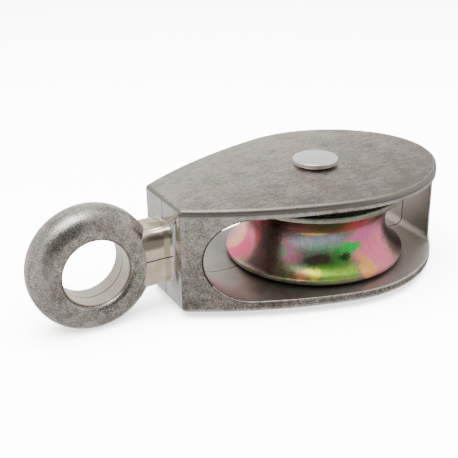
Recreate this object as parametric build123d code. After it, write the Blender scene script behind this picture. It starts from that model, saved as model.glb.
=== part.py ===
from build123d import *
import os

# A single pulley with a rigid eye, in millimetres.
# The axle stands along Z through the origin, the eye lies towards -X,
# and the rope runs through the window along Y.

# Sheave
sheave_diameter = 38.1
sheave_width = 14.6
rim_land = 1.0
groove_depth = 3.9
rim_edge_radius = 0.35

# Axle rivet
axle_diameter = 6.2
axle_running_clearance = 0.09
axle_seat_clearance = 0.03
rivet_head_diameter = 9.6
rivet_seat_diameter = 7.6
rivet_head_bevel = 0.55
rivet_head_edge = 0.85
rivet_head_dome = 0.3
rivet_head_rounding = 0.25
rivet_tail_diameter = 8.6
rivet_tail_edge = 0.5
rivet_tail_dome = 0.7

# Housing, seen from the side
side_play = 1.9
resting_gap = 0.3
cheek_thickness = 2.75
outer_edge_radius = 0.9

# Housing, seen from above
rope_gap = 12.4
head_wall = 4.15
head_width = 15.8
web_gap = 5.1
web_thickness = 2.95
nose_to_sheave = 0.955
nose_arc = 32.5
shoulder_to_sheave = 1.365
shoulder_arc = 70.0
head_corner_radius = 1.0

# Rope window, left by two cores that met on the plane Y = 0
web_corner_radius = 1.6
window_edge_radius = 0.3
core_draft = 1.8

# Eye and its neck
eye_bore_radius = 6.65
eye_wall = 6.0
eye_fullness = 1.5
eye_mouth_share = 0.225
eye_crown_share = 0.667
neck_length = 2.95
neck_step_depth = 0.25
neck_height = 12.5
neck_corner_radius = 2.5

# Worked out from the sizes above
sheave_radius = sheave_diameter / 2
axle_radius = axle_diameter / 2
half_pocket = (sheave_width + side_play) / 2
half_height = half_pocket + cheek_thickness
window_end_reach = sheave_radius + rope_gap
head_end_reach = window_end_reach + head_wall
pocket_end_centre = half_pocket - window_end_reach
web_inner_face = sheave_radius + web_gap
round_end_reach = web_inner_face + web_thickness
nose_radius = nose_to_sheave * sheave_radius
shoulder_radius = shoulder_to_sheave * sheave_radius
eye_outer_radius = eye_bore_radius + eye_wall
eye_middle_radius = eye_bore_radius + eye_wall / 2
eye_thickness = eye_fullness * eye_wall
eye_mouth_radius = eye_mouth_share * eye_wall
eye_crown_radius = eye_crown_share * eye_wall
eye_centre_distance = head_end_reach + neck_length + eye_outer_radius
neck_thickness = eye_thickness - 2 * neck_step_depth


def teardrop_outline():
    """Half of the cheek's outline in three tangent arcs, closed along the X axis."""
    head_corner = (-head_end_reach, head_width / 2)
    with BuildSketch() as outline:
        with BuildLine():
            nose = JernArc((round_end_reach, 0), (0, 1), nose_radius, nose_arc)
            shoulder = JernArc(nose @ 1, nose % 1, shoulder_radius, shoulder_arc)
            TangentArc(shoulder @ 1, head_corner, tangent=shoulder % 1)
            Line(head_corner, (-head_end_reach, 0))
            Line((-head_end_reach, 0), (round_end_reach, 0))
        make_face()
        mirror(about=Plane.XZ)
    return outline.sketch


def window_core(side):
    """One core of the rope window, from the plane Y = 0 outwards, growing by its draft."""
    straight_length = web_inner_face - pocket_end_centre
    with BuildPart() as core:
        with BuildSketch(Plane.XZ):
            with Locations((pocket_end_centre + straight_length / 2, 0)):
                web_end = Rectangle(straight_length, 2 * half_pocket)
            web_corners = web_end.vertices().group_by(Axis.X)[-1]
            fillet(web_corners, web_corner_radius)
            with Locations((pocket_end_centre, 0)):
                Circle(half_pocket)
        extrude(amount=shoulder_radius, dir=(0, side, 0), taper=-core_draft)
    return core.part


def eye_ring():
    """The eye: a rounded section turned round an axis along Y, with a straight bore."""
    ring_axis = Axis((-eye_centre_distance, 0, 0), (0, 1, 0))
    with BuildPart() as ring:
        with BuildSketch(Plane.XY) as section:
            with Locations((eye_middle_radius - eye_centre_distance, 0)):
                Rectangle(eye_wall, eye_thickness)
            fillet(section.vertices().group_by(Axis.X)[-1], eye_crown_radius)
            fillet(section.vertices().group_by(Axis.X)[0], eye_mouth_radius)
        revolve(axis=ring_axis)
    return ring.part


def eye_neck():
    """The flat bar between eye and head, hollowed at one end to sit inside the ring."""
    buried_radius = eye_bore_radius + eye_mouth_radius
    bar_length = eye_outer_radius + neck_length + head_wall / 2
    with BuildPart() as neck:
        with BuildSketch(Plane.YZ.offset(-eye_centre_distance)):
            RectangleRounded(neck_thickness, neck_height, neck_corner_radius)
        extrude(amount=bar_length)
        with Locations((-eye_centre_distance, 0, 0)):
            Cylinder(buried_radius, 2 * neck_height, rotation=(90, 0, 0), mode=Mode.SUBTRACT)
    return neck.part


def window_rim(body):
    """The edges where the core just cut breaks out of the walls, clear of the parting plane."""
    return body.edges(Select.LAST).filter_by(
        lambda edge: min(abs(end.Y) for end in edge.vertices()) > web_thickness
    )


def make_housing():
    """Cheeks, head block, web, neck and eye, cast in one piece."""
    with BuildPart() as body:
        add(teardrop_outline())
        extrude(amount=half_height, both=True)
        fillet(body.edges().filter_by(Axis.Z).group_by(Axis.X)[0], head_corner_radius)
        rims = body.faces().filter_by(Axis.Z).edges()
        fillet(rims, outer_edge_radius)
        for side in (1, -1):
            add(window_core(side), mode=Mode.SUBTRACT)
            fillet(window_rim(body), window_edge_radius)
        Cylinder(axle_radius + axle_seat_clearance, 2 * half_height, mode=Mode.SUBTRACT)
        add(eye_neck())
        add(eye_ring())
    return body.part


def make_sheave():
    """A turned wheel with a broad round groove, lying low in its play on the axle."""
    half_width = sheave_width / 2
    half_groove = half_width - rim_land
    groove_floor = sheave_radius - groove_depth
    bore_radius = axle_radius + axle_running_clearance
    sheave_drop = side_play / 2 - resting_gap
    with BuildPart() as sheave:
        with BuildSketch(Plane.XZ) as section:
            with BuildLine():
                Polyline(
                    (sheave_radius, -half_groove),
                    (sheave_radius, -half_width),
                    (bore_radius, -half_width),
                    (bore_radius, half_width),
                    (sheave_radius, half_width),
                    (sheave_radius, half_groove),
                )
                ThreePointArc(
                    (sheave_radius, half_groove),
                    (groove_floor, 0),
                    (sheave_radius, -half_groove),
                )
            make_face()
            rim_corners = section.vertices().group_by(Axis.X)[-1]
            fillet(rim_corners, rim_edge_radius)
        revolve(axis=Axis.Z)
    return Pos(0, 0, -sheave_drop) * sheave.part


def dome_radius(base_radius, height):
    """Radius of the ball whose cap has this base and height."""
    return (base_radius**2 + height**2) / (2 * height)


def make_axle_rivet():
    """The axle: a rivet with a broad low head, set into a button on the far side."""
    head_radius = rivet_head_diameter / 2
    seat_radius = rivet_seat_diameter / 2
    tail_radius = rivet_tail_diameter / 2
    bevel_top = half_height + rivet_head_bevel
    rim_top = bevel_top + rivet_head_edge
    tail_edge = (tail_radius, -half_height - rivet_tail_edge)
    tail_tip = (0, -half_height - rivet_tail_edge - rivet_tail_dome)
    with BuildPart() as rivet:
        with BuildSketch(Plane.XZ) as section:
            with BuildLine():
                RadiusArc(
                    (0, rim_top + rivet_head_dome),
                    (head_radius, rim_top),
                    dome_radius(head_radius, rivet_head_dome),
                )
                Polyline(
                    (head_radius, rim_top),
                    (head_radius, bevel_top),
                    (seat_radius, half_height),
                    (axle_radius, half_height),
                    (axle_radius, -half_height),
                    (tail_radius, -half_height),
                    tail_edge,
                )
                RadiusArc(tail_edge, tail_tip, dome_radius(tail_radius, rivet_tail_dome))
                Line(tail_tip, (0, rim_top + rivet_head_dome))
            make_face()
            head_corners = section.vertices().group_by(Axis.X)[-1]
            fillet(head_corners, rivet_head_rounding)
        revolve(axis=Axis.Z)
    return rivet.part


parts = {
    "housing": make_housing(),
    "sheave": make_sheave(),
    "axle_rivet": make_axle_rivet(),
}
os.makedirs("parts", exist_ok=True)
for name, solid in parts.items():
    export_step(solid, f"parts/{name}.step")
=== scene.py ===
import math

import bpy
from mathutils import Matrix, Vector


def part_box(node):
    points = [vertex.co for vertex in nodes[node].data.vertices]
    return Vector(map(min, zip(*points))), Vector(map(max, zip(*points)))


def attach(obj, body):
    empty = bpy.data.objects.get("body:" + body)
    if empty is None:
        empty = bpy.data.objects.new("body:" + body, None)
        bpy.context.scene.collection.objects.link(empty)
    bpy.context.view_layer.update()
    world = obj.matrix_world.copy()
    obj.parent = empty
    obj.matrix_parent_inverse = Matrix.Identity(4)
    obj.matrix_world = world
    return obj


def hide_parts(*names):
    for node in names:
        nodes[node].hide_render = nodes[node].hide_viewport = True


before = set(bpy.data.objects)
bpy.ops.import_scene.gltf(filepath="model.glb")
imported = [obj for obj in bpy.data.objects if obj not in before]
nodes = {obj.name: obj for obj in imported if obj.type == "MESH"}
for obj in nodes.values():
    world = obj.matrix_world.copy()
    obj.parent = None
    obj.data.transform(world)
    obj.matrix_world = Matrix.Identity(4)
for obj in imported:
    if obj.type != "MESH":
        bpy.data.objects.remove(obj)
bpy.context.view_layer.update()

# A single pulley, lying on a pale table with its eye to the left. Lengths are in metres.
MM = 0.001
housing_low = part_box("housing")[0]
sheave_low, sheave_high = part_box("sheave")

# Places on the casting
head_end_face = -35.6 * MM
eye_centre = -51.2 * MM
eye_bore_radius = 6.65 * MM
neck_start = eye_centre + eye_bore_radius + 2.1 * MM
head_wall_inside = head_end_face + 2 * MM
window_head_end = head_end_face + 3 * MM
window_arc_end = -23 * MM
dark_corner_end = -24 * MM
web_corner_start = 19 * MM
half_height = 11.0 * MM
edge_radius = 0.9 * MM
inside_cheeks = half_height - 1.5 * MM
lower_lip_top = -5 * MM
table_height = housing_low[2]
hair = 0.02 * MM

# How much of a face's normal lies along an axis
past_draft = 0.06
slightly = 0.08
partly = 0.25
mostly = 0.8
nearly_square = 0.9
flat = 0.99

# The reach of a patch, in mm, in a direction where it has no end
endless = 1e6


def linear(hex_colour):
    """An sRGB hex colour as the linear RGBA a shader socket takes."""
    channels = [int(hex_colour[i:i + 2], 16) / 255 for i in (1, 3, 5)]
    return [c / 12.92 if c <= 0.04045 else ((c + 0.055) / 1.055) ** 2.4 for c in channels] + [1.0]


def add_node(tree, kind, settings=None):
    """Adds a node. Settings name its properties and inputs; an output among them is linked."""
    node = tree.nodes.new(kind)
    for name, value in (settings or {}).items():
        if name == "stops":
            elements = node.color_ramp.elements
            while len(elements) < len(value):
                elements.new(0.5)
            for element, (position, hex_colour) in zip(elements, value):
                element.position = position
                element.color = linear(hex_colour)
        elif isinstance(value, bpy.types.NodeSocket):
            tree.links.new(value, node.inputs[name])
        elif isinstance(name, str) and hasattr(node, name):
            setattr(node, name, value)
        else:
            node.inputs[name].default_value = value
    return node


def new_material(name):
    """An empty material of that name, its tree and its Object coordinates."""
    material = bpy.data.materials.new(name)
    material.use_nodes = True
    tree = material.node_tree
    tree.nodes.clear()
    place = add_node(tree, "ShaderNodeTexCoord").outputs["Object"]
    return material, tree, place


def give_skin(tree, settings):
    """Ends a material with its shader, set as given."""
    shader = add_node(tree, "ShaderNodeBsdfPrincipled", settings)
    add_node(tree, "ShaderNodeOutputMaterial", {"Surface": shader.outputs["BSDF"]})


def lay_patch(tree, skin, spots, middle, reach, hex_colour):
    """Lays one patch of colour over skin; middle and reach are in the units of spots.

    The patch is full within 0.55 of its reach, and fades out at 1.3 of it.
    """
    away = add_node(tree, "ShaderNodeMapping", {
        "vector_type": "TEXTURE", "Vector": spots, "Location": middle, "Scale": reach,
    }).outputs["Vector"]
    squared = add_node(tree, "ShaderNodeVectorMath", {
        "operation": "DOT_PRODUCT", 0: away, 1: away,
    }).outputs["Value"]
    share = add_node(tree, "ShaderNodeMapRange", {
        "interpolation_type": "SMOOTHSTEP", "Value": squared, "From Min": 1.7, "From Max": 0.3,
    }).outputs["Result"]
    return add_node(tree, "ShaderNodeMix", {
        "data_type": "RGBA", 0: share, 6: skin, 7: linear(hex_colour),
    }).outputs[2]


def lay_patches(tree, colour, place, wander, patches):
    """Lays patches given as (middle in mm, reach in mm, hex colour), their borders wandering."""
    spots = add_node(tree, "ShaderNodeVectorMath", {
        "operation": "MULTIPLY_ADD", 0: place, 1: (1 / MM, 1 / MM, 1 / MM), 2: wander,
    }).outputs["Vector"]
    for middle, reach, hex_colour in patches:
        colour = lay_patch(tree, colour, spots, middle, reach, hex_colour)
    return colour


def tumbled_nickel(name, tones, roughness, pitting, drag=1.0, paler=(0, 0, 0), patches=()):
    """Zinc die casting, tumbled and nickel plated: warm grey with a gritty, slightly pitted skin.

    A drag below 1 draws the grain out along the casting's length. The skin is painted paler in the
    direction of paler, as painted light and shade, by so much of its mottling per metre.
    """
    material, tree, place = new_material(name)
    along = add_node(tree, "ShaderNodeMapping", {
        "Vector": place, "Scale": (drag, 1.0, 1.0),
    }).outputs["Vector"]
    clouds = add_node(tree, "ShaderNodeTexNoise", {
        "Vector": place, "Scale": 1 / (6.0 * MM), "Detail": 2.0,
    }).outputs["Fac"]
    blotches = add_node(tree, "ShaderNodeTexNoise", {
        "Vector": along, "Scale": 1 / (1.2 * MM), "Detail": 3.0, "Roughness": 0.6,
    }).outputs["Fac"]
    specks = add_node(tree, "ShaderNodeTexNoise", {
        "Vector": along, "Scale": 1 / (0.21 * MM), "Detail": 3.0, "Roughness": 0.65,
    }).outputs["Fac"]
    # Painted light and shade: the skin starts paler in the direction of paler
    mottle_and_painted_light = add_node(tree, "ShaderNodeVectorMath", {
        "operation": "DOT_PRODUCT", 0: place, 1: paler,
    }).outputs["Value"]
    for noise, share in ((clouds, 0.2), (blotches, 0.2), (specks, 0.6)):
        mottle_and_painted_light = add_node(tree, "ShaderNodeMath", {
            "operation": "MULTIPLY_ADD", 0: noise, 1: share, 2: mottle_and_painted_light,
        }).outputs["Value"]
    colour = add_node(tree, "ShaderNodeValToRGB", {
        "Fac": mottle_and_painted_light, "stops": [(0.40, tones[0]), (0.5, tones[1]), (0.60, tones[2])],
    }).outputs["Color"]
    # The plating drifts a little between warm violet and olive from place to place
    tint = add_node(tree, "ShaderNodeTexNoise", {
        "Vector": place, "Scale": 1 / (7 * MM), "Detail": 2.0,
    }).outputs["Color"]
    colour = add_node(tree, "ShaderNodeMix", {
        "data_type": "RGBA", "blend_type": "OVERLAY", 0: 0.1, 6: colour, 7: tint,
    }).outputs[2]
    wander = add_node(tree, "ShaderNodeMath", {
        "operation": "MULTIPLY", 0: specks, 1: 1.2,
    }).outputs["Value"]
    rubbed = add_node(tree, "ShaderNodeMapRange", {
        "Value": specks, "From Min": 0.3, "From Max": 0.7,
        "To Min": roughness[0], "To Max": roughness[1],
    }).outputs["Result"]
    pits = add_node(tree, "ShaderNodeBump", {
        "Strength": pitting, "Distance": 0.04 * MM, "Height": specks,
    }).outputs["Normal"]
    give_skin(tree, {
        "Base Color": lay_patches(tree, colour, place, wander, patches),
        "Metallic": 1.0, "Roughness": rubbed, "Normal": pits,
    })
    return material


def seam_line(tree, place, colour, across):
    """Draws the fine dark line where two halves of the mould met, square to the axis named.

    It is 0.2 to 0.3 mm wide and wanders by up to 0.2 mm.
    """
    offset = add_node(tree, "ShaderNodeSeparateXYZ", {"Vector": place}).outputs[across]
    bends = add_node(tree, "ShaderNodeTexNoise", {
        "Vector": place, "Scale": 1 / (4.0 * MM), "Detail": 2.0,
    }).outputs["Fac"]
    wander = add_node(tree, "ShaderNodeMapRange", {
        "Value": bends, "To Min": -0.2 * MM, "To Max": 0.2 * MM,
    }).outputs["Result"]
    off_line = add_node(tree, "ShaderNodeMath", {"operation": "ADD", 0: offset, 1: wander})
    distance = add_node(tree, "ShaderNodeMath", {
        "operation": "ABSOLUTE", 0: off_line.outputs["Value"],
    }).outputs["Value"]
    line = add_node(tree, "ShaderNodeMapRange", {
        "Value": distance, "From Min": 0.08 * MM, "From Max": 0.17 * MM,
        "To Min": 1.0, "To Max": 0.0,
    }).outputs["Result"]
    return add_node(tree, "ShaderNodeMix", {
        "data_type": "RGBA", 0: line, 6: colour, 7: linear("#28231f"),
    }).outputs[2]


def smooth_metal(tree, place, colour, roughness):
    """A smooth plated skin with a faint ripple, under the colour given."""
    ripple = add_node(tree, "ShaderNodeTexNoise", {
        "Vector": place, "Scale": 1 / (0.8 * MM), "Detail": 2.0,
    }).outputs["Fac"]
    relief = add_node(tree, "ShaderNodeBump", {
        "Strength": 0.15, "Distance": 0.02 * MM, "Height": ripple,
    }).outputs["Normal"]
    give_skin(tree, {
        "Base Color": colour, "Metallic": 1.0, "Roughness": roughness, "Normal": relief,
    })


def smooth_nickel(name, tones, roughness, seam_across="Y", patches=()):
    """The same plating over a polished core or a ground die: smooth, brighter, with a fine seam."""
    material, tree, place = new_material(name)
    clouds = add_node(tree, "ShaderNodeTexNoise", {
        "Vector": place, "Scale": 1 / (4.0 * MM), "Detail": 4.0, "Roughness": 0.6,
    }).outputs["Fac"]
    colour = add_node(tree, "ShaderNodeValToRGB", {
        "Fac": clouds, "stops": [(0.38, tones[0]), (0.62, tones[1])],
    }).outputs["Color"]
    colour = lay_patches(tree, colour, place, clouds, patches)
    smooth_metal(tree, place, seam_line(tree, place, colour, seam_across), roughness)
    return material


def cored_nickel():
    """The plating inside the rope window.

    It is dull, darker beside the sheave in painted shadow, and paler towards both ends of the
    window.
    """
    material, tree, place = new_material("nickel on the cored rope window")
    along = add_node(tree, "ShaderNodeSeparateXYZ", {"Vector": place}).outputs["X"]
    clouds = add_node(tree, "ShaderNodeTexNoise", {
        "Vector": place, "Scale": 1 / (4.0 * MM), "Detail": 4.0, "Roughness": 0.6,
    }).outputs["Fac"]
    # From 0 at the window's head end to 1 past the web, less half of what the clouds add
    cloud_share = 0.15
    reach = add_node(tree, "ShaderNodeMapRange", {
        "Value": along, "From Min": -32 * MM, "From Max": 28 * MM,
        "To Min": -cloud_share / 2, "To Max": 1.0 - cloud_share / 2,
    }).outputs["Result"]
    clouded = add_node(tree, "ShaderNodeMath", {
        "operation": "MULTIPLY_ADD", 0: clouds, 1: cloud_share, 2: reach,
    }).outputs["Value"]
    # The darkest stop is painted shadow beside the sheave
    colour = add_node(tree, "ShaderNodeValToRGB", {"Fac": clouded, "stops": [
        (0.0, "#cfcac2"), (0.14, "#bfbab2"), (0.26, "#969189"),
        (0.42, "#bab5ad"), (0.6, "#d8d3ca"), (1.0, "#d0cac1"),
    ]}).outputs["Color"]
    smooth_metal(tree, place, seam_line(tree, place, colour, "Y"), 0.46)
    return material


# The film on the wheel, with painted shade and reflections among it: (degrees round it from its
# front, mm above its middle), reach, colour
film_and_shade_patches = [
    # Pink and salmon on the left, over a wide soft ground
    ((-110, -1.6), (34, 5.6), "#f48896"),
    ((-124, 0.5), (14, 3.5), "#f0a98a"),
    # Brown-red painted shadow of the upper cheek
    ((-98, 2.4), (12, 3.0), "#a06a5c"),
    # Pink on the right, fading round the corner to brown painted shade, then grey
    ((17, -2.0), (24, 5.2), "#ff8aa2"),
    ((10, 1.2), (12, 1.9), "#f27eb4"),
    ((22, 5.2), (30, 2.0), "#7d7560"),
    # Brown painted shade round the right-hand corner
    ((55, -1), (20, 20), "#6e5a50"),
    ((98, 0), (24, 7), "#a8a0a2"),
    # Pink, green and gold on the far side
    ((135, 1), (16, 7), "#cf8fa4"),
    ((158, -1), (14, 7), "#8db268"),
    ((-152, 0), (15, 7), "#d6a85e"),
    # Dull rose under the upper rim and on the left of the middle
    ((-42, 4.2), (24, 1.3), "#b8808c"),
    ((-10, 4.2), (22, 1.4), "#b47078"),
    ((-50, 0.6), (9, 2.4), "#a87e88"),
    ((-49, -2.9), (7, 1.2), "#d08a96"),
    # Blue-grey turning to green across the middle
    ((-32, 0.8), (20, 1.7), "#a2aab2"),
    ((-26, -0.6), (15, 1.0), "#8cb494"),
    # The cores of the pink and salmon on the left
    ((-98, -4.3), (10, 2.8), "#f4648a"),
    ((-112, -3.0), (9, 3.0), "#ffb890"),
    # Strong greens with two dark patches of painted reflection
    ((-19, -3.6), (16, 1.8), "#70b058"),
    ((-5, -1.2), (9, 1.3), "#38d05c"),
    ((-29, -3.1), (10, 0.9), "#6c6450"),
    ((-9, -2.9), (4, 0.8), "#3c6236"),
    # Yellow-green, yellow and orange above the lower rim
    ((-20, -5.3), (20, 1.1), "#8cbc48"),
    ((-35, -5.4), (6, 0.8), "#f8f448"),
    ((-42, -5.7), (3.5, 0.7), "#f8b482"),
    ((5, -4.9), (6, 1.9), "#ffb66a"),
]
# The same, for painted highlight and painted reflection, with borders that run straight round the
# wheel
painted_light_patches = [
    # A painted highlight along a turned line under the upper rim
    ((-34, 2.5), (10, 0.3), "#ffd880"),
    # A painted dark reflection over one stretch, paler at both rims and redder on its left
    ((-72, 0), (12, 30), "#7c6461"),
    ((-72, 5.4), (16, 1.4), "#c8c0ae"),
    ((-83, 1.5), (5, 4), "#b8606a"),
    ((-78, -7.0), (20, 1.0), "#d0c4b4"),
]


def yellow_chromate():
    """Turned steel with yellow passivated zinc: a glossy film in pink, green, gold and brown, under
    painted shade, reflections and a highlight.
    """
    material, tree, place = new_material("yellow passivated zinc on turned steel")
    drift = add_node(tree, "ShaderNodeTexNoise", {
        "Vector": place, "Scale": 1 / (2.6 * MM), "Detail": 3.0, "Roughness": 0.6,
    }).outputs["Fac"]
    grain = add_node(tree, "ShaderNodeTexNoise", {
        "Vector": place, "Scale": 1 / (0.3 * MM), "Detail": 3.0, "Roughness": 0.7,
    }).outputs["Fac"]
    # Degrees round the wheel from its front, and mm above its middle
    mid_height = (sheave_high[2] + sheave_low[2]) / 2
    from_middle = add_node(tree, "ShaderNodeVectorMath", {
        "operation": "MULTIPLY_ADD", 0: place, 1: (1 / MM, -1 / MM, 1 / MM),
        2: (0, 0, -mid_height / MM),
    }).outputs["Vector"]
    axes = add_node(tree, "ShaderNodeSeparateXYZ", {"Vector": from_middle}).outputs
    angle = add_node(tree, "ShaderNodeMath", {"operation": "ARCTAN2", 0: axes["X"], 1: axes["Y"]})
    turn = add_node(tree, "ShaderNodeMath", {"operation": "DEGREES", 0: angle.outputs["Value"]})
    steady = add_node(tree, "ShaderNodeCombineXYZ", {
        "X": turn.outputs["Value"], "Y": axes["Z"],
    }).outputs["Vector"]
    # The borders sway by some 5 degrees and half a millimetre, frayed by the crystals' grain
    frayed = add_node(tree, "ShaderNodeMath", {
        "operation": "MULTIPLY_ADD", 0: grain, 1: 0.5, 2: drift,
    }).outputs["Value"]
    sway = add_node(tree, "ShaderNodeMath", {
        "operation": "SUBTRACT", 0: frayed, 1: 0.75,
    }).outputs["Value"]
    swaying = add_node(tree, "ShaderNodeVectorMath", {
        "operation": "MULTIPLY_ADD", 0: sway, 1: (20.0, 2.0, 0), 2: steady,
    }).outputs["Vector"]
    up_the_wheel = add_node(tree, "ShaderNodeMapRange", {
        "Value": axes["Z"], "From Min": -8.0, "From Max": 8.0,
    }).outputs["Result"]
    skin = add_node(tree, "ShaderNodeValToRGB", {"Fac": up_the_wheel, "stops": [
        (0.05, "#6a675a"), (0.12, "#9b9a78"), (0.3, "#93a084"), (0.6, "#8f9088"),
        (0.8, "#b09a90"), (0.9, "#b0a490"), (0.93, "#8f9886"), (0.96, "#d0d2c4"),
    ]}).outputs["Color"]
    for spots, patches in ((swaying, film_and_shade_patches), (steady, painted_light_patches)):
        for middle, reach, hex_colour in patches:
            skin = lay_patch(tree, skin, spots, (*middle, 0), (*reach, 1), hex_colour)
    # Every crystal's film differs a little, so the colours mingle in streaks and sparkle
    streaks = add_node(tree, "ShaderNodeMapping", {
        "Vector": place, "Scale": (1.0, 1.0, 0.3),
    }).outputs["Vector"]
    mingled = add_node(tree, "ShaderNodeTexNoise", {
        "Vector": streaks, "Scale": 1 / (0.9 * MM), "Detail": 3.0,
    }).outputs["Color"]
    sparkle = add_node(tree, "ShaderNodeTexNoise", {
        "Vector": place, "Scale": 1 / (0.3 * MM), "Detail": 2.0,
    }).outputs["Color"]
    for tints, weight in ((mingled, 0.5), (sparkle, 0.55)):
        skin = add_node(tree, "ShaderNodeMix", {
            "data_type": "RGBA", "blend_type": "OVERLAY", 0: weight, 6: skin, 7: tints,
        }).outputs[2]
    # Turning lines a third of a millimetre apart, drawn coarser than real ones so that they show
    drawn_round = add_node(tree, "ShaderNodeMapping", {
        "Vector": place, "Scale": (0.02, 0.02, 1.0),
    }).outputs["Vector"]
    lines = add_node(tree, "ShaderNodeTexNoise", {
        "Vector": drawn_round, "Scale": 1 / (0.33 * MM), "Detail": 2.0,
    }).outputs["Fac"]
    turned = add_node(tree, "ShaderNodeBump", {
        "Strength": 0.2, "Distance": 0.02 * MM, "Height": lines,
    }).outputs["Normal"]
    grained = add_node(tree, "ShaderNodeBump", {
        "Strength": 0.3, "Distance": 0.02 * MM, "Height": grain, "Normal": turned,
    }).outputs["Normal"]
    around = add_node(tree, "ShaderNodeTangent", {"direction_type": "RADIAL", "axis": "Z"})
    give_skin(tree, {
        "Base Color": skin, "Metallic": 1.0, "Roughness": 0.3, "Anisotropic": 0.5,
        "Tangent": around.outputs["Tangent"], "Normal": grained,
    })
    return material


def bright_zinc():
    """Steel rivet, bright zinc plated: near white, a little dulled where the tool bore on it."""
    material, tree, place = new_material("bright zinc-plated steel")
    dulled = add_node(tree, "ShaderNodeTexNoise", {
        "Vector": place, "Scale": 1 / (0.7 * MM), "Detail": 3.0, "Roughness": 0.6,
    }).outputs["Fac"]
    colour = add_node(tree, "ShaderNodeValToRGB", {
        "Fac": dulled, "stops": [(0.35, "#ecede7"), (0.6, "#fcfcf8")],
    }).outputs["Color"]
    dents = add_node(tree, "ShaderNodeBump", {
        "Strength": 0.3, "Distance": 0.03 * MM, "Height": dulled,
    }).outputs["Normal"]
    give_skin(tree, {
        "Base Color": colour, "Metallic": 1.0, "Roughness": 0.28, "Normal": dents,
    })
    return material


def select_only(piece):
    """Makes that piece the one selected and active object."""
    bpy.ops.object.select_all(action="DESELECT")
    piece.select_set(True)
    bpy.context.view_layer.objects.active = piece


def copy_of_solid(node, name):
    """The CAD solid's own mesh as a new piece, its triangles joined at their corners."""
    piece = bpy.data.objects.new(name, node.data.copy())
    bpy.context.scene.collection.objects.link(piece)
    select_only(piece)
    bpy.ops.object.mode_set(mode="EDIT")
    bpy.ops.mesh.select_all(action="SELECT")
    bpy.ops.mesh.remove_doubles(threshold=0.001 * MM)
    bpy.ops.object.mode_set(mode="OBJECT")
    bpy.ops.object.shade_smooth_by_angle(angle=math.radians(30))
    bpy.ops.object.modifier_add(type="WEIGHTED_NORMAL")
    piece.modifiers[0].keep_sharp = True
    bpy.ops.object.modifier_apply(modifier=piece.modifiers[0].name)
    return piece


def is_pocket_wall(face):
    """True for the faces that the window's cores left."""
    centre, normal = face.center, face.normal
    inside = abs(centre.z) < inside_cheeks and centre.x > head_wall_inside
    floor_or_roof = abs(normal.z) > partly
    round_end = normal.x > mostly and centre.x < 0
    web = normal.x < -mostly and centre.x > 0
    return inside and (floor_or_roof or round_end or web)


def is_window_lip(face):
    """True for the small roundings where the rope window breaks out of the casting's sides."""
    centre, normal = face.center, face.normal
    leans_out = abs(centre.z) < inside_cheeks and abs(normal.y) > past_draft
    # The outer sides, which taper towards the head and close round the web, lean along X too
    at_head = window_head_end < centre.x < window_arc_end and normal.x > -0.36
    at_web = centre.x > web_corner_start and normal.x < 0.5
    along_cheeks = abs(normal.z) > slightly
    return leans_out and (at_head or at_web or along_cheeks)


def surface_of(face):
    """The name of the casting's surface that a face lies on."""
    centre, normal = face.center, face.normal
    if centre.x < head_end_face - hair:
        from_eye = math.hypot(centre.x - eye_centre, centre.z)
        if from_eye < eye_bore_radius + 0.15 * MM:
            return "bore"
        is_along_bar = abs(normal.x) < 0.02
        if is_along_bar and centre.x > neck_start:
            return "neck"
        return "eye"
    if centre.x < head_end_face + hair and normal.x < -nearly_square:
        return "end face"
    if is_window_lip(face):
        if normal.z > partly and centre.z < lower_lip_top:
            return "bright lips"
        return "lips in painted shade" if centre.x < dark_corner_end else "edges"
    if is_pocket_wall(face):
        return "pocket"
    if abs(normal.z) > flat:
        return "cheeks"
    return "edges" if abs(centre.z) > half_height - edge_radius else "sides"


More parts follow.
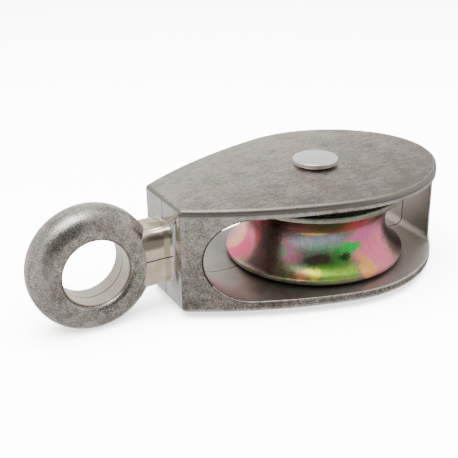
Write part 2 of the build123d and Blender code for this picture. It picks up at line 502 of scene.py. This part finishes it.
def housing_finishes():
    """The finish of each of the casting's surfaces, some of them with painted light and shade."""
    return {
        # Warm grey grit that scatters the light, in painted light and shade paler towards the top
        "sides": tumbled_nickel(
            "tumbled nickel on the cast sides", ("#665f57", "#a69f96", "#ddd6cc"),
            (0.38, 0.52), 0.9, paler=(0, 0, 6),
            # A painted dark band of shade just under the rim
            patches=[((0, 0, 10.9), (endless, endless, 0.6), "#7a736b")]),
        # The same, rubbed flat: a quiet satin with its grain drawn out, and painted light that is
        # paler towards the back and the head
        "cheeks": tumbled_nickel(
            "tumbled nickel on the flat cheeks", ("#746c63", "#a1978c", "#c5bcb1"),
            (0.36, 0.46), 0.7, drag=0.4, paler=(-1.0, 4.0, 0)),
        # Knocked by the other castings: a bright sparkling line, dark below it, with a painted dark
        # strip of shade along the top of the rounding
        "edges": tumbled_nickel(
            "burnished nickel on the worn edges", ("#6f6860", "#b0a89e", "#f0e9de"),
            (0.3, 0.4), 1.0,
            # Painted shade along the top of each rounding
            patches=[((0, 0, 11.15), (endless, endless, 0.46), "#8d867e")]),
        # A fine dark line of painted shade along the window's corner
        "lips in painted shade": tumbled_nickel(
            "nickel in the window's corner, in painted shade", ("#37332f", "#4a4641", "#5d5953"),
            (0.4, 0.5), 0.2),
        # An edge that they rubbed bright, and painted paler still as a highlight: a fine pale line
        "bright lips": tumbled_nickel(
            "burnished nickel on the window's lower lip", ("#b9b2a8", "#d6cfc5", "#ece6dd"),
            (0.22, 0.3), 0.5),
        # Rubbed from all sides: glossier than the rest, its highlights broken up by pits
        "eye": tumbled_nickel(
            "tumbled nickel on the eye", ("#6e655c", "#a59d94", "#d8d1c7"),
            # Painted light and shade: paler towards the top, darker towards the bottom
            (0.17, 0.28), 0.7, paler=(0, 0, 2.5)),
        # Glossy and straw-coloured, with a painted dark reflection under its upper edge
        "neck": smooth_nickel(
            "rubbed nickel on the neck", ("#dccdaf", "#f8ecd2"), 0.14, seam_across="Z",
            patches=[
                ((-40, 0, 4.2), (12, endless, 1.3), "#8f8674"),
                # Painted shade where the neck meets the eye
                ((-43.5, 0, 1.0), (1.4, endless, 7), "#b5a890"),
                # Slightly darker next to the head
                ((-36.2, 0, 0.0), (0.7, endless, 9), "#c2b59c"),
            ]),
        "pocket": cored_nickel(),
        # Smooth and silvery, so the neck is mirrored in it
        "end face": smooth_nickel("nickel on a smooth end face", ("#bab7b1", "#c8c5c0"), 0.22),
        # Smooth and warm, pale from end to end
        "bore": smooth_nickel("nickel on a cored bore", ("#bfb4a1", "#cfc6b5"), 0.24),
    }


def cast_housing():
    """The casting, each of its surfaces in its own finish."""
    piece = copy_of_solid(nodes["housing"], "cast_housing")
    piece.data.materials.clear()
    finishes = housing_finishes()
    for finish in finishes.values():
        piece.data.materials.append(finish)
    order = list(finishes)
    for face in piece.data.polygons:
        face.material_index = order.index(surface_of(face))
    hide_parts("housing")
    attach(piece, "frame")


def dress(node_name, material):
    """Gives a CAD solid its finish."""
    node = nodes[node_name]
    node.data.materials.clear()
    node.data.materials.append(material)


def table():
    """A plain table top."""
    bpy.ops.object.select_all(action="DESELECT")
    bpy.ops.mesh.primitive_plane_add(size=12, location=(0, 0, table_height))
    top = bpy.context.object
    top.name = "table"
    # Milky acrylic lit from below: matt white, and shadows on it stay faint
    material, tree = new_material("milky acrylic table top, lit from below")[:2]
    give_skin(tree, {
        "Base Color": linear("#f8f8f8"), "Roughness": 0.9,
        "Emission Color": linear("#ffffff"), "Emission Strength": 1.6,
    })
    top.data.materials.append(material)
    top.visible_glossy = False


def table_lamp():
    """A large even lamp that whitens the table and stays out of the metal."""
    place = Vector((-0.10, -0.10, 0.55))
    data = bpy.data.lights.new("lamp over the table", "AREA")
    data.size = 0.7
    data.energy = 60.0
    lamp = bpy.data.objects.new("lamp over the table", data)
    bpy.context.scene.collection.objects.link(lamp)
    lamp.location = place
    lamp.rotation_euler = (-place).to_track_quat("-Z", "Y").to_euler()
    lamp.visible_glossy = False


def closeness(tree, direction, aim, far, near, least=0.0, most=1.0):
    """From least to most as a direction of light comes from far to near, in degrees off aim."""
    aligned = add_node(tree, "ShaderNodeVectorMath", {
        "operation": "DOT_PRODUCT", 0: direction, 1: Vector(aim).normalized(),
    }).outputs["Value"]
    return add_node(tree, "ShaderNodeMapRange", {
        "interpolation_type": "SMOOTHSTEP", "Value": aligned,
        "From Min": math.cos(math.radians(far)), "From Max": math.cos(math.radians(near)),
        "To Min": least, "To Max": most,
    }).outputs["Result"]


def studio():
    """An even pale tent, brightest overhead, with the dark gap that the camera looks through."""
    world = bpy.data.worlds.new("studio")
    bpy.context.scene.world = world
    world.use_nodes = True
    tree = world.node_tree
    tree.nodes.clear()
    direction = add_node(tree, "ShaderNodeTexCoord").outputs["Generated"]
    tent = 1.0
    panels = (
        # A soft glow from the roof and a bright panel in it, towards the eye
        ((0, 0, 1), 50, 10, 0.7),
        ((-0.28, -0.12, 0.95), 26, 10, 6.5),
        # The back wall
        ((0.1, 0.98, -0.05), 50, 10, 0.5),
        # The ground in front, a little in shade
        ((0.35, -0.50, -0.80), 75, 25, -0.22),
    )
    for aim, far, near, strength in panels:
        panel = closeness(tree, direction, aim, far, near)
        tent = add_node(tree, "ShaderNodeMath", {
            "operation": "MULTIPLY_ADD", 0: panel, 1: strength, 2: tent,
        }).outputs["Value"]
    gap = closeness(tree, direction, (-0.32, -0.83, 0.46), 58, 18, 1.0, 0.23)
    brightness = add_node(tree, "ShaderNodeMath", {"operation": "MULTIPLY", 0: tent, 1: gap})
    glow = add_node(tree, "ShaderNodeBackground", {
        "Color": linear("#ffffff"), "Strength": brightness.outputs["Value"],
    }).outputs["Background"]
    add_node(tree, "ShaderNodeOutputWorld", {"Surface": glow})


def camera():
    """The photograph's view: from the front left, looking down on the cheek.

    Angles, distance, lens and shift are fitted to the housing's outline and upright edges.
    """
    azimuth, elevation, roll = (math.radians(a) for a in (28.067, 24.898, -1.043))
    aim = Vector((-20.617, 0, -0.343)) * MM
    distance = 188.247 * MM
    ahead = Vector((
        math.sin(azimuth) * math.cos(elevation),
        math.cos(azimuth) * math.cos(elevation),
        -math.sin(elevation),
    ))
    right = Vector((math.cos(azimuth), -math.sin(azimuth), 0))
    up = right.cross(ahead)
    turned_right = math.cos(roll) * right + math.sin(roll) * up
    turned_up = -math.sin(roll) * right + math.cos(roll) * up
    data = bpy.data.cameras.new("camera")
    data.sensor_width = 36
    data.lens = 71.77
    data.shift_x = -0.0025
    data.shift_y = 0.0099
    data.clip_start = 0.01
    eye = bpy.data.objects.new("camera", data)
    bpy.context.scene.collection.objects.link(eye)
    turn = Matrix((turned_right, turned_up, -ahead)).transposed().to_4x4()
    eye.matrix_world = Matrix.Translation(aim - distance * ahead) @ turn
    bpy.context.scene.camera = eye


cast_housing()
dress("sheave", yellow_chromate())
dress("axle_rivet", bright_zinc())
table()
studio()
table_lamp()
camera()
